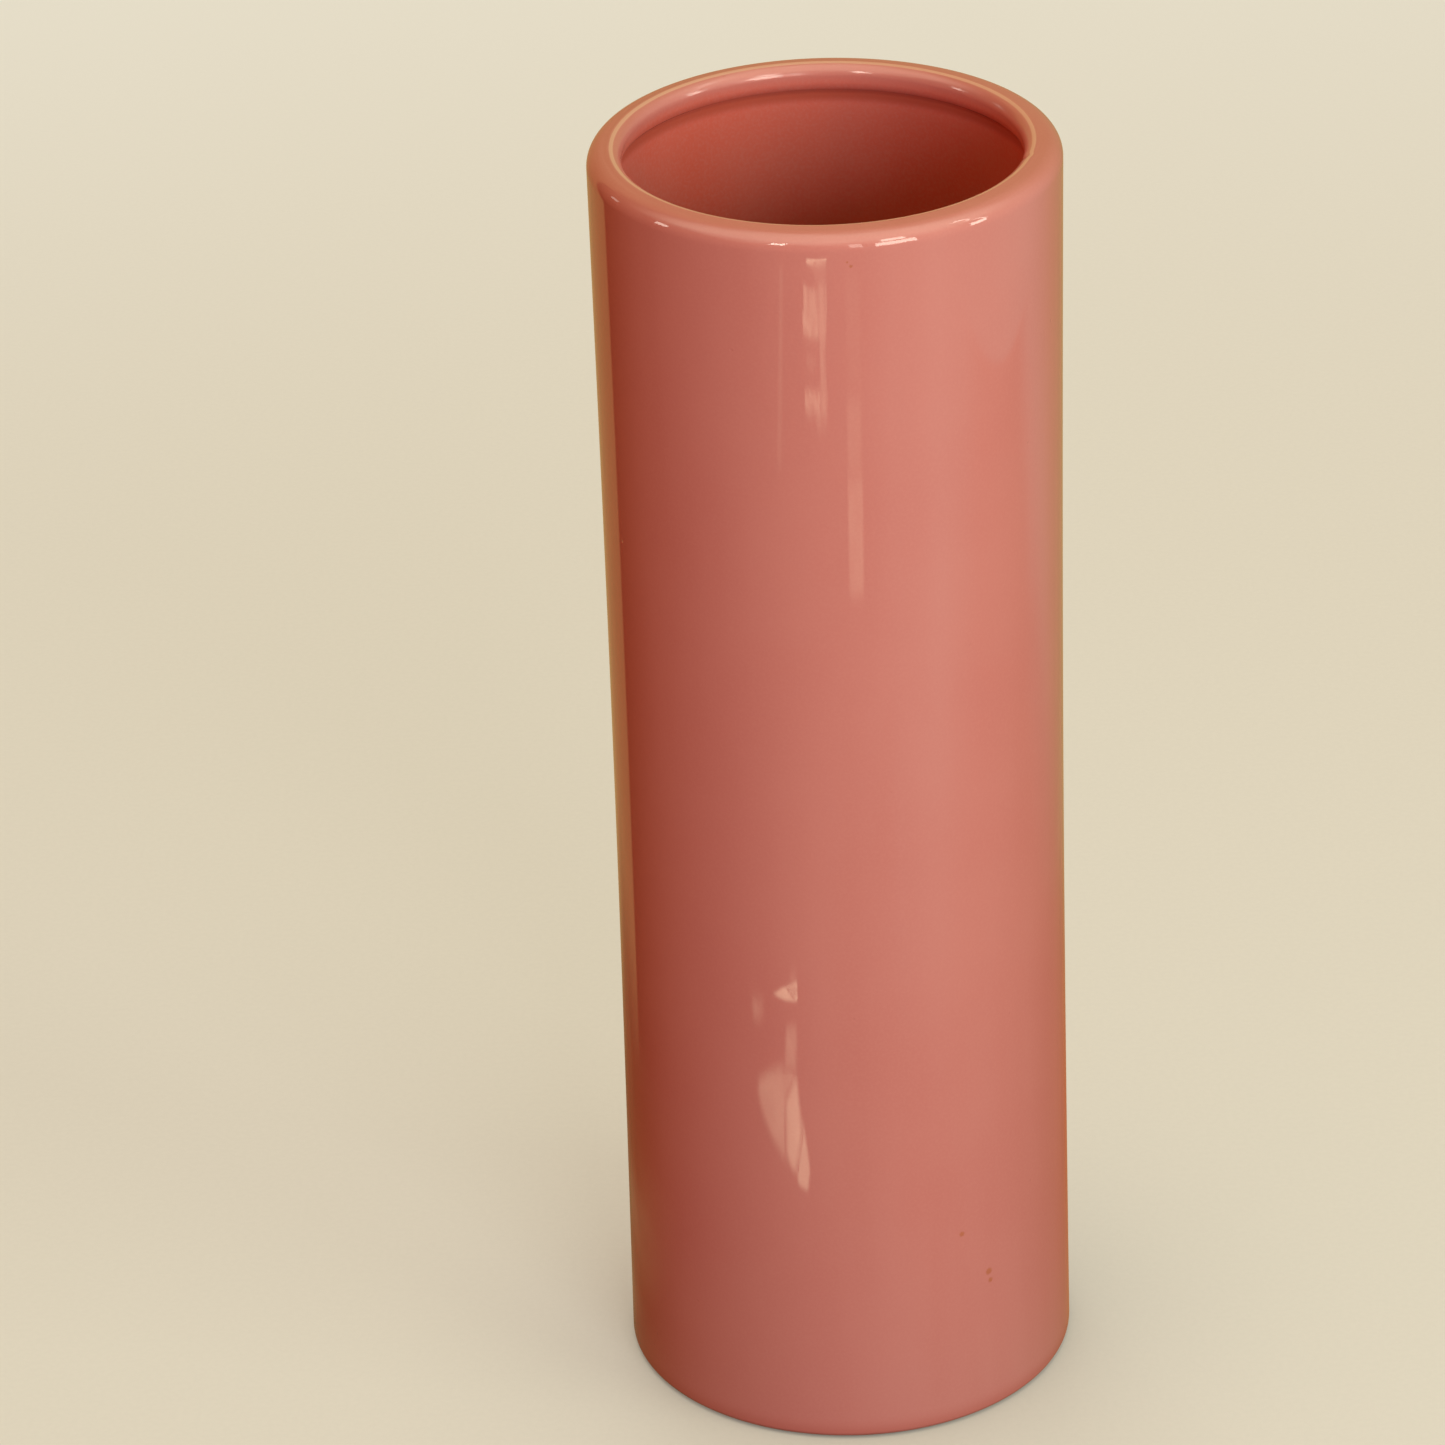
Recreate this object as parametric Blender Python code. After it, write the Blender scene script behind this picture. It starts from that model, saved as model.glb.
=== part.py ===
"""A tall cylinder vase of glazed, slip-cast ceramic.

The vase is one clay casting with three fired-on glaze coats: outside, inside and in the recess
under its foot. It stands on its foot ring at z = 0 with its axis along +Z. Lengths are in metres.

Every outline is the vase's finished surface, or a line at some depth below it. The clay and the
undersides of the coats are made by giving a larger depth.
"""

import math

import bmesh
import bpy

# Driving dimensions of the finished vase
HEIGHT = 0.300
OUTER_RADIUS = 0.0515
WALL = 0.0060  # clay and both coats together
FLOOR_TOP = 0.0095  # height of the inner floor

# Rolled rim: a round shoulder outside, a nearly flat top, and a lip that overhangs the inside
SHOULDER_RADIUS = 0.0040
TOP_SLOPE = 8.0  # degrees by which the flat top falls towards the shoulder
LIP_RADIUS = 0.0028
LIP_OVERHANG = 0.0020
UNDERCUT_RADIUS = 0.0020  # hollow curve from the lip back to the inner wall
FLOOR_CORNER = 0.0100  # inside corner between wall and floor

# Foot: a bare ring of clay around a shallow glazed recess
FOOT_CORNER = 0.0014  # outer corner, where the coat curves in to the foot ring
FOOT_CORNER_HEIGHT = 0.0017  # where the wall begins to curve in
FOOT_CHAMFER = 0.0003
RECESS_RADIUS = 0.0437
RECESS_HEIGHT = 0.0024
RECESS_CORNER = 0.0016

# Glaze
COAT = 0.0005
CLEARANCE = 0.0003  # keeps coat and clay apart, as two solids
CLAY_DEPTH = COAT + CLEARANCE
FOOT_COAT_END = -70.0  # where the outer coat stops, as an angle on the foot corner
BASE_COAT_END = 20.0  # where the recess coat stops, as an angle on the recess corner

# The coats break on the crest of the lip, where the clay comes to the surface.
# Angles on the lip's arc, from the outward direction.
OUTER_COAT_END = 86.0
CREST_OUTER = 95.0
CREST_INNER = 117.0
INNER_COAT_START = 126.0

SEGMENTS = 64  # around the vase
MERGE_DISTANCE = 0.000001  # joins the points that lie on the axis
SHARP_ANGLE = math.radians(40)

# Centres of the rim's arcs, as (radius, height)
INNER_RADIUS = OUTER_RADIUS - WALL
LIP_CENTRE = (INNER_RADIUS - LIP_OVERHANG + LIP_RADIUS, HEIGHT - LIP_RADIUS)
TOP_NORMAL = 90.0 - TOP_SLOPE


def shoulder_centre():
    """The shoulder and the lip touch the same straight top, whose normal is TOP_NORMAL."""
    radius = OUTER_RADIUS - SHOULDER_RADIUS
    normal = math.radians(TOP_NORMAL)
    across = (radius - LIP_CENTRE[0]) * math.cos(normal)
    drop = (SHOULDER_RADIUS - LIP_RADIUS + across) / math.sin(normal)
    return radius, LIP_CENTRE[1] - drop


def undercut_centre():
    """The undercut touches the lip's arc and the inner wall."""
    radius = INNER_RADIUS - UNDERCUT_RADIUS
    reach = LIP_RADIUS + UNDERCUT_RADIUS
    drop = math.sqrt(reach**2 - (LIP_CENTRE[0] - radius) ** 2)
    return radius, LIP_CENTRE[1] - drop


SHOULDER_CENTRE = shoulder_centre()
UNDERCUT_CENTRE = undercut_centre()
UNDERCUT_ANGLE = math.degrees(
    math.atan2(LIP_CENTRE[1] - UNDERCUT_CENTRE[1], LIP_CENTRE[0] - UNDERCUT_CENTRE[0])
)
LIP_END = 180.0 + UNDERCUT_ANGLE


def arc(centre, radius, start, end, steps):
    """Points along an arc in the profile plane. Angles in degrees, from outwards towards up."""
    points = []
    for step in range(steps + 1):
        angle = math.radians(start + (end - start) * step / steps)
        points.append((centre[0] + radius * math.cos(angle), centre[1] + radius * math.sin(angle)))
    return points


def lip(depth, start, end, steps):
    """Part of the rolled lip."""
    return arc(LIP_CENTRE, LIP_RADIUS - depth, start, end, steps)


def inside_line(depth, lip_start, lip_steps):
    """From the lip at lip_start over the undercut, down the inner wall and along the floor."""
    corner = (INNER_RADIUS - FLOOR_CORNER, FLOOR_TOP + FLOOR_CORNER)
    line = lip(depth, lip_start, LIP_END, lip_steps)
    line += arc(UNDERCUT_CENTRE, UNDERCUT_RADIUS + depth, UNDERCUT_ANGLE, 0, 2)[1:]
    line += arc(corner, FLOOR_CORNER + depth, 0, -90, 5)
    line.append((0.0, FLOOR_TOP - depth))
    return line


def outside_line(depth, lip_start, lip_steps, foot_end):
    """From the lip at lip_start over the shoulder and down the outside to the foot corner."""
    foot = (OUTER_RADIUS - FOOT_CORNER, FOOT_CORNER_HEIGHT)
    line = lip(depth, lip_start, TOP_NORMAL, lip_steps)
    line += arc(SHOULDER_CENTRE, SHOULDER_RADIUS - depth, TOP_NORMAL, 0, 5)
    line += arc(foot, FOOT_CORNER - depth, 0, foot_end, 3)
    return line


def recess_line(depth, corner_start):
    """From the recess corner at corner_start along the recess to the axis."""
    corner = (RECESS_RADIUS - RECESS_CORNER, RECESS_HEIGHT - RECESS_CORNER)
    line = arc(corner, RECESS_CORNER + depth, corner_start, 90, 3)
    line.append((0.0, RECESS_HEIGHT + depth))
    return line


def clay_outline():
    """The whole casting, from the middle of its floor round to the middle of its underside."""
    ring_outer = OUTER_RADIUS - FOOT_CORNER
    ring_inner = RECESS_RADIUS + CLAY_DEPTH
    line = inside_line(CLAY_DEPTH, CREST_INNER, 5)[::-1]
    line += lip(0.0, CREST_INNER, CREST_OUTER, 2)
    line += outside_line(CLAY_DEPTH, CREST_OUTER, 1, -90)
    line.append((ring_outer, FOOT_CHAMFER))
    line.append((ring_outer - FOOT_CHAMFER, 0.0))
    line.append((ring_inner + FOOT_CHAMFER, 0.0))
    line.append((ring_inner, FOOT_CHAMFER))
    line += recess_line(CLAY_DEPTH, 0)
    return line


def outer_glaze_outline():
    """A closed loop: down the finished surface and back up against the clay."""
    surface = outside_line(0.0, OUTER_COAT_END, 1, FOOT_COAT_END)
    underside = outside_line(COAT, OUTER_COAT_END, 1, FOOT_COAT_END)
    return surface + underside[::-1]


def inner_glaze_outline():
    """From the middle of the floor up the finished surface and back down against the clay."""
    surface = inside_line(0.0, INNER_COAT_START, 5)
    underside = inside_line(COAT, INNER_COAT_START, 5)
    return surface[::-1] + underside


def base_glaze_outline():
    """From the axis out against the clay and back along the finished surface."""
    surface = recess_line(0.0, BASE_COAT_END)
    underside = recess_line(COAT, BASE_COAT_END)
    return underside[::-1] + surface


def material(name, colour, roughness, coat_weight):
    """A non-metal material; colour is linear red, green, blue."""
    made = bpy.data.materials.new(name)
    made.use_nodes = True
    shader = made.node_tree.nodes["Principled BSDF"]
    shader.inputs["Base Color"].default_value = (*colour, 1.0)
    shader.inputs["Metallic"].default_value = 0.0
    shader.inputs["Roughness"].default_value = roughness
    shader.inputs["Coat Weight"].default_value = coat_weight
    made.diffuse_color = (*colour, 1.0)
    made.roughness = roughness
    return made


def turned(name, outline, closed, surface):
    """An outline in the XZ plane, turned once around +Z."""
    shape = bmesh.new()
    points = [shape.verts.new((radius, 0.0, height)) for radius, height in outline]
    edges = [shape.edges.new(pair) for pair in zip(points, points[1:])]
    if closed:
        edges.append(shape.edges.new((points[-1], points[0])))
    bmesh.ops.spin(
        shape,
        geom=points + edges,
        cent=(0.0, 0.0, 0.0),
        axis=(0.0, 0.0, 1.0),
        angle=math.tau,
        steps=SEGMENTS,
        use_merge=True,
    )
    bmesh.ops.remove_doubles(shape, verts=shape.verts, dist=MERGE_DISTANCE)
    bmesh.ops.recalc_face_normals(shape, faces=shape.faces)
    mesh = bpy.data.meshes.new(name)
    shape.to_mesh(mesh)
    shape.free()
    mesh.shade_smooth()
    mesh.set_sharp_from_angle(angle=SHARP_ANGLE)
    mesh.materials.append(surface)
    piece = bpy.data.objects.new(name, mesh)
    bpy.context.scene.collection.objects.link(piece)
    return piece


def clay_body():
    clay = material("buff_clay", (0.60, 0.43, 0.30), 0.75, 0.0)
    return turned("clay_body", clay_outline(), False, clay)


def outer_glaze():
    glaze = material("pink_glaze_outside", (0.62, 0.225, 0.19), 0.12, 1.0)
    return turned("outer_glaze", outer_glaze_outline(), True, glaze)


def inner_glaze():
    glaze = material("pink_glaze_inside", (0.62, 0.17, 0.135), 0.15, 1.0)
    return turned("inner_glaze", inner_glaze_outline(), False, glaze)


def base_glaze():
    glaze = material("pink_glaze_base", (0.60, 0.21, 0.175), 0.20, 1.0)
    return turned("base_glaze", base_glaze_outline(), False, glaze)


def main():
    for item in list(bpy.data.objects):
        bpy.data.objects.remove(item)
    clay_body()
    outer_glaze()
    inner_glaze()
    base_glaze()


main()
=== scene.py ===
"""Studio scene of a pink glazed cylinder vase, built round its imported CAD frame. Lengths are in metres.

Directions in the studio are bearings: 0 degrees points from the vase to the camera (-Y), and
positive bearings turn towards the camera's right (+X).
"""

import math

import bpy
import numpy as np
from mathutils import Matrix, Vector


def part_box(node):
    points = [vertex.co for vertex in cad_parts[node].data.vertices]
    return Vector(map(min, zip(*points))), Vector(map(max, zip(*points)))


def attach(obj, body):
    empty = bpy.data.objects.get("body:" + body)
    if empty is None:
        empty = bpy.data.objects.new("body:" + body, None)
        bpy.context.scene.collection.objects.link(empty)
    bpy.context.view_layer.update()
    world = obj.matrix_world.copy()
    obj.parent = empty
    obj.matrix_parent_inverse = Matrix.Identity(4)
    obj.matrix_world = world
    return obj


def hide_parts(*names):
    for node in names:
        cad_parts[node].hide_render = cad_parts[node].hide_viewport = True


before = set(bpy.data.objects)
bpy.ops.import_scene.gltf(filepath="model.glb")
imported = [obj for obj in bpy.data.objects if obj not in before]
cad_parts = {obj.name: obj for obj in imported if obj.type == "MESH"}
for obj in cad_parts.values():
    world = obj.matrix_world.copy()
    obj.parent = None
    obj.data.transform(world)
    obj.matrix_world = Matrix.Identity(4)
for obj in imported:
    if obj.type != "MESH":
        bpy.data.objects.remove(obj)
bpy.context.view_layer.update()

# Shape: the CAD's boxes give the driving sizes, and these give the turned profile
COAT = 0.0005
LIP_RADIUS = 0.0028
LIP_OVERHANG = 0.0020
LIP_DROP = 0.0011  # upright stretch of the lip, below its round top
UNDERCUT_RADIUS = 0.0018
SHOULDER_RADIUS = 0.0040
TOP_NORMAL = 82.0  # degrees up from outwards, so that the top falls outwards by 8
FLOOR_CORNER = 0.0100
FOOT_CORNER = 0.0014
FOOT_CORNER_HEIGHT = 0.0017
FOOT_CHAMFER = 0.0003
FOOT_COAT_END = -78.0  # where the outer coat stops, as an angle on the foot corner
RECESS_CORNER = 0.0016
RECESS_RING = 0.0004  # from the edge of the recess coat to the foot ring
BASE_COAT_END = 12.0  # where the recess coat stops, as an angle on the recess corner
CREST_OUTER = 96.0  # the clay comes to the surface between these angles on the lip
CREST_INNER = 112.0
CREST_HALF = 0.00010  # half of the bare line's width
CREST_FADE = 0.00075  # over this distance the glaze comes to its full depth
FEATHER = 0.00004  # thickness of a coat at its edges
SEAT = 0.00002  # between coat and clay
UNDERSIDE_LEAD = 6.0  # degrees by which an underside's arc starts past its coat's edge on the lip

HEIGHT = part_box("clay_body")[1].z
OUTER_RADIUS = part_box("outer_glaze")[1].x
INNER_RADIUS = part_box("inner_glaze")[1].x - COAT
FLOOR_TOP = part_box("inner_glaze")[0].z + COAT
RECESS_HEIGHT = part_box("base_glaze")[1].z - COAT
RECESS_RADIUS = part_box("base_glaze")[1].x - RECESS_RING
LIP_CENTRE = (INNER_RADIUS - LIP_OVERHANG + LIP_RADIUS, HEIGHT - LIP_RADIUS)
LIP_FOOT = (LIP_CENTRE[0], LIP_CENTRE[1] - LIP_DROP)

WAIST = 0.00068  # the wall draws in this much half way up
MOUTH_SHIFT = 0.00046  # the inside lies this far off the axis, towards -X
NICK_ANGLE = math.radians(-13.0)  # a small dent in the crest, from +X towards +Y
NICK_DEPTH = 0.00035
NICK_WIDTH = math.radians(1.4)
NICK_REACH = 0.0022  # down from the crest

# Fineness of the meshes: segments round the vase, and steps along each stretch of a coarse profile
SEGMENTS = 288
FINE = 3  # how much finer the finished surfaces are than the hidden ones
BASE_FINE = 2
CREST_STEPS = 8
CREST_TO_TOP_STEPS = 3
CREST_TO_TOP_FINE = 12
CREST_TO_SIDE_STEPS = 8
CREST_TO_SIDE_FINE = 36
LIP_STEPS = 6
UNDERCUT_STEPS = 4
SHOULDER_STEPS = 20
OUTER_WALL_STEPS = 48
INNER_WALL_STEPS = 40
CORNER_STEPS = 6  # floor corner and recess corner
FLAT_STEPS = 8  # top of the rim, floor and recess
FOOT_STEPS = 5
FOOT_EDGE_STEPS = 2
RING_STEPS = 10
ON_AXIS = 1e-9  # a point nearer the axis than this lies on it
SHARP_ANGLE = math.radians(40)


def shoulder_centre():
    """The shoulder and the lip touch the same nearly flat top, whose normal is TOP_NORMAL."""
    radius = OUTER_RADIUS - SHOULDER_RADIUS
    normal = math.radians(TOP_NORMAL)
    across = (radius - LIP_CENTRE[0]) * math.cos(normal)
    return radius, LIP_CENTRE[1] - (SHOULDER_RADIUS - LIP_RADIUS + across) / math.sin(normal)


def undercut_centre():
    """The undercut touches the lip and the inner wall."""
    radius = INNER_RADIUS - UNDERCUT_RADIUS
    reach = LIP_RADIUS + UNDERCUT_RADIUS
    return radius, LIP_FOOT[1] - math.sqrt(reach**2 - (LIP_FOOT[0] - radius) ** 2)


SHOULDER_CENTRE = shoulder_centre()
UNDERCUT_CENTRE = undercut_centre()
UNDERCUT_ANGLE = math.degrees(
    math.atan2(LIP_FOOT[1] - UNDERCUT_CENTRE[1], LIP_FOOT[0] - UNDERCUT_CENTRE[0])
)
LIP_END = 180.0 + UNDERCUT_ANGLE


# ---------------------------------------------------------------- profile


def arc(centre, radius, start, end, steps):
    """Points (radius, height) along an arc; angles in degrees from outwards towards up."""
    angles = np.radians(np.linspace(start, end, steps + 1))
    return [(centre[0] + radius * math.cos(a), centre[1] + radius * math.sin(a)) for a in angles]


def straight(start, end, steps):
    """Points along a straight line, both ends included."""
    shares = np.linspace(0.0, 1.0, steps + 1)
    return [tuple(np.add(start, np.subtract(end, start) * share)) for share in shares]


def inside_line(depth, lip_start, lip_steps, fine):
    """From the lip over the undercut, down the inner wall and along the floor to the axis."""
    corner = (INNER_RADIUS - FLOOR_CORNER, FLOOR_TOP + FLOOR_CORNER)
    line = arc(LIP_CENTRE, LIP_RADIUS - depth, lip_start, 180, lip_steps)
    line += arc(LIP_FOOT, LIP_RADIUS - depth, 180, LIP_END, LIP_STEPS * fine)
    hollow = UNDERCUT_RADIUS + depth
    line += arc(UNDERCUT_CENTRE, hollow, UNDERCUT_ANGLE, 0, UNDERCUT_STEPS * fine)[1:]
    line += straight(line[-1], (INNER_RADIUS + depth, corner[1]), INNER_WALL_STEPS * fine)[1:]
    line += arc(corner, FLOOR_CORNER + depth, 0, -90, CORNER_STEPS * fine)[1:]
    line += straight(line[-1], (0.0, FLOOR_TOP - depth), FLAT_STEPS * fine)[1:]
    return line


def outside_line(depth, lip_start, lip_steps, foot_end, fine):
    """From the lip over the shoulder and down the outside to the foot corner."""
    foot = (OUTER_RADIUS - FOOT_CORNER, FOOT_CORNER_HEIGHT)
    line = arc(LIP_CENTRE, LIP_RADIUS - depth, lip_start, TOP_NORMAL, lip_steps)
    shoulder = arc(SHOULDER_CENTRE, SHOULDER_RADIUS - depth, TOP_NORMAL, 0, SHOULDER_STEPS * fine)
    line += straight(line[-1], shoulder[0], FLAT_STEPS * fine)[1:]
    line += shoulder[1:]
    line += straight(line[-1], (OUTER_RADIUS - depth, foot[1]), OUTER_WALL_STEPS * fine)[1:]
    line += arc(foot, FOOT_CORNER - depth, 0, foot_end, FOOT_STEPS * fine)[1:]
    return line


def recess_line(depth, corner_start, fine):
    """From the recess corner along the recess to the axis."""
    corner = (RECESS_RADIUS - RECESS_CORNER, RECESS_HEIGHT - RECESS_CORNER)
    line = arc(corner, RECESS_CORNER + depth, corner_start, 90, CORNER_STEPS * fine)
    line += straight(line[-1], (0.0, RECESS_HEIGHT + depth), FLAT_STEPS * fine)[1:]
    return line


def clay_outline():
    """The casting: hidden clay under the coats, bare at the crest of the lip and at the foot."""
    depth = COAT + SEAT
    ring_outer = OUTER_RADIUS - FOOT_CORNER
    ring_inner = RECESS_RADIUS + depth
    line = inside_line(depth, CREST_INNER, CREST_TO_SIDE_STEPS, 1)[::-1]
    line += arc(LIP_CENTRE, LIP_RADIUS, CREST_INNER, CREST_OUTER, CREST_STEPS)
    line += outside_line(depth, CREST_OUTER, CREST_TO_TOP_STEPS, -90, 1)
    line += straight(line[-1], (ring_outer, FOOT_CHAMFER), FOOT_EDGE_STEPS)[1:]
    line += straight((ring_outer - FOOT_CHAMFER, 0.0), (ring_inner + FOOT_CHAMFER, 0.0), RING_STEPS)
    line += [(ring_inner, FOOT_CHAMFER)]
    line += recess_line(depth, 0, 1)
    return line


def feathered(surface, underside):
    """The underside brought up to the surface at both ends, so that a coat thins to its edge."""
    made = list(underside)
    for end in (0, -1):
        tip = np.array(surface[end])
        near = np.array(underside[end])
        if near[0] < ON_AXIS:
            continue
        away = near - tip
        made[end] = tuple(tip + away * FEATHER / np.linalg.norm(away))
    return made


def outer_outline():
    """A closed loop: down the finished surface and back up against the clay."""
    start = CREST_OUTER + UNDERSIDE_LEAD
    surface = outside_line(0.0, CREST_OUTER, CREST_TO_TOP_FINE, FOOT_COAT_END, FINE)
    underside = outside_line(COAT, start, CREST_TO_TOP_STEPS, FOOT_COAT_END, 1)
    return surface + feathered(surface, underside)[::-1]


def inner_outline():
    """From the middle of the floor up the finished surface and back down against the clay."""
    start = CREST_INNER - UNDERSIDE_LEAD
    surface = inside_line(0.0, CREST_INNER, CREST_TO_SIDE_FINE, FINE)
    underside = inside_line(COAT, start, CREST_TO_SIDE_STEPS, 1)
    return surface[::-1] + feathered(surface, underside)


def base_outline():
    """From the axis out against the clay and back along the finished surface."""
    surface = recess_line(0.0, BASE_COAT_END, BASE_FINE)
    underside = recess_line(COAT, BASE_COAT_END, 1)
    return feathered(surface, underside)[::-1] + surface


# ---------------------------------------------------------------- mesh


def wave_set(seed, count, turns, length, height):
    """Waves that run round and along the wall: turns per round, radians per metre, phase, height."""
    draw = np.random.default_rng(seed)
    return [
        (
            int(draw.integers(turns[0], turns[1] + 1)),
            draw.uniform(-1, 1) * math.tau / length,
            draw.uniform(0, math.tau),
            height * draw.uniform(0.5, 1.0),
        )
        for _ in range(count)
    ]


# A cast wall is never quite true: slow swells, and short ripples that make its reflections wander
WAVES = wave_set(seed=11, count=5, turns=(2, 4), length=0.9, height=0.00004)
WAVES += wave_set(seed=23, count=10, turns=(9, 30), length=0.12, height=0.0000025)


def bump_at(distance, width):
    """1 at no distance, and falling away to nothing over about twice the width."""
    return np.exp(-((distance / width) ** 2))


def wall_offset(angle, radius, height):
    """How far the wall stands out from a true cylinder."""
    total = -WAIST * np.sin(np.pi * height / HEIGHT) * np.ones_like(angle)
    for turns, rate, phase, size in WAVES:
        total = total + size * np.cos(turns * angle + rate * height + phase)
    inside = np.clip((SHOULDER_CENTRE[0] - radius) / (SHOULDER_CENTRE[0] - LIP_CENTRE[0]), 0.0, 1.0)
    above_foot = np.clip((height - RECESS_HEIGHT) / FLOOR_TOP, 0.0, 1.0)
    turn = (angle - NICK_ANGLE + np.pi) % math.tau - np.pi
    nick = NICK_DEPTH * inside * bump_at(turn, NICK_WIDTH) * bump_at(HEIGHT - height, NICK_REACH)
    return total + nick - MOUTH_SHIFT * inside * above_foot * np.cos(angle)


def bands(count, closed):
    """Faces between neighbouring rings of points, and from the last to the first if closed."""
    step = np.arange(SEGMENTS)
    after = (step + 1) % SEGMENTS
    faces = []
    for row in range(count if closed else count - 1):
        here = row * SEGMENTS
        there = (row + 1) % count * SEGMENTS
        faces += np.stack([step + here, step + there, after + there, after + here], 1).tolist()
    return faces


def fan(pole, row, first):
    """Faces from the point on the axis to a ring; the first ring's run the other way round."""
    faces = []
    for step in range(SEGMENTS):
        here = row * SEGMENTS + step
        after = row * SEGMENTS + (step + 1) % SEGMENTS
        faces.append((pole, here, after) if first else (after, here, pole))
    return faces


def turned(name, outline, closed, glaze_depth):
    """A piece turned from its outline, with the wall's waves and its glaze depth at each point."""
    rings = [point for point in outline if point[0] > ON_AXIS]
    radius, height = np.array(rings).T
    angle = np.linspace(0.0, math.tau, SEGMENTS, endpoint=False)
    out = wall_offset(angle[None, :], radius[:, None], height[:, None])
    around = radius[:, None] + out * (radius / OUTER_RADIUS)[:, None]
    tall = np.repeat(height[:, None], SEGMENTS, 1)
    points = np.stack([around * np.cos(angle), around * np.sin(angle), tall], -1).reshape(-1, 3).tolist()
    depths = np.repeat(glaze_depth(radius, height), SEGMENTS).tolist()
    count = len(rings)
    faces = bands(count, closed)
    for end, row in ((0, 0), (-1, count - 1)):
        if outline[end][0] > ON_AXIS:
            continue
        points.append((0.0, 0.0, outline[end][1]))
        depths.append(depths[row * SEGMENTS])
        faces += fan(len(points) - 1, row, end == 0)
    mesh = bpy.data.meshes.new(name)
    mesh.from_pydata(points, [], faces)
    mesh.attributes.new("glaze_depth", "FLOAT", "POINT").data.foreach_set("value", depths)
    mesh.shade_smooth()
    mesh.set_sharp_from_angle(angle=SHARP_ANGLE)
    piece = bpy.data.objects.new(name, mesh)
    bpy.context.scene.collection.objects.link(piece)
    return piece


# Where glaze gathers, and where painted shade deepens the colour under the inner lip: how much deeper it
# is there, and how far that reaches
FOOT_POOL = 0.5
FOOT_POOL_REACH = 0.004
LIP_PAINTED_SHADE = 0.55
LIP_PAINTED_SHADE_REACH = 0.0016
CORNER_POOL = 0.5
CORNER_POOL_REACH = 0.010
RECESS_EDGE_DEPTH = 0.6
CREST_FILM = 0.1


def from_crest(radius, height):
    """Rises from 0 at the bare crest of the lip to 1 where the glaze is at its full depth."""
    crest = arc(LIP_CENTRE, LIP_RADIUS, CREST_OUTER, CREST_INNER, 2)[1]
    away = np.hypot(radius - crest[0], height - crest[1])
    return np.clip((away - CREST_HALF) / CREST_FADE, 0.0, 1.0)


def outside_depth(radius, height):
    """Glaze is thin on the crest, and gathers towards the foot."""
    return from_crest(radius, height) + FOOT_POOL * bump_at(height, FOOT_POOL_REACH)


def inside_depth(radius, height):
    """Glaze gathers round the corner of the floor; the extra depth under the lip is painted shade."""
    under = np.hypot(radius - INNER_RADIUS, height - UNDERCUT_CENTRE[1])
    corner = np.hypot(radius - INNER_RADIUS, height - FLOOR_TOP)
    shade_and_pool = LIP_PAINTED_SHADE * bump_at(under, LIP_PAINTED_SHADE_REACH) + CORNER_POOL * bump_at(corner, CORNER_POOL_REACH)
    return from_crest(radius, height) + shade_and_pool


def base_depth(radius, height):
    """Glaze is thinner round the corner of the recess."""
    return np.where(radius > RECESS_RADIUS - RECESS_CORNER, RECESS_EDGE_DEPTH, 1.0)


def clay_depth(radius, height):
    """The crest carries a film of glaze; the foot is bare."""
    return np.where(height > HEIGHT / 2, CREST_FILM, 0.0)


# ---------------------------------------------------------------- shader helper


class Graph:
    """Adds nodes to a node tree and joins them."""

    def __init__(self, tree):
        self.tree = tree
        tree.nodes.clear()

    def add(self, kind, inputs=None, **settings):
        node = self.tree.nodes.new(kind)
        for name, value in settings.items():
            setattr(node, name, value)
        for key, value in (inputs or {}).items():
            if isinstance(value, bpy.types.NodeSocket):
                self.tree.links.new(value, node.inputs[key])
            else:
                node.inputs[key].default_value = value
        return node

    def math(self, operation, a, b=0.0):
        return self.add("ShaderNodeMath", {0: a, 1: b}, operation=operation).outputs[0]

    def ramp(self, value, low, high, bottom=0.0, top=1.0):
        """value taken from low..high to bottom..top, eased at both ends."""
        inputs = {"Value": value, "From Min": low, "From Max": high, "To Min": bottom, "To Max": top}
        node = self.add("ShaderNodeMapRange", inputs, interpolation_type="SMOOTHSTEP")
        return node.outputs["Result"]

    def mix(self, share, a, b):
        node = self.add("ShaderNodeMix", {0: share, 6: a, 7: b}, data_type="RGBA")
        return node.outputs[2]

    def noise(self, vector, scale, detail=2.0, stretch=(1, 1, 1)):
        if stretch != (1, 1, 1):
            vector = self.add("ShaderNodeMapping", {"Vector": vector, "Scale": stretch}).outputs[0]
        inputs = {"Vector": vector, "Scale": scale, "Detail": detail}
        return self.add("ShaderNodeTexNoise", inputs).outputs[0]

    def bump(self, relief):
        """A surface normal that follows the relief, in metres."""
        inputs = {"Height": relief, "Strength": 1.0, "Distance": 1.0}
        return self.add("ShaderNodeBump", inputs).outputs[0]

    def split(self, vector):
        return self.add("ShaderNodeSeparateXYZ", {0: vector}).outputs

    def bearing(self, vector):
        """Degrees from the camera's side (-Y), positive towards +X."""
        x, y, _ = self.split(vector)
        turn = self.math("ARCTAN2", x, self.math("MULTIPLY", y, -1.0))
        return self.math("DEGREES", turn)


def colour(red, green, blue):
    return (red, green, blue, 1.0)


def new_material(name):
    material = bpy.data.materials.new(name)
    material.use_nodes = True
    return material, Graph(material.node_tree)


# ---------------------------------------------------------------- materials

PINK = colour(0.617, 0.219, 0.187)
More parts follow.
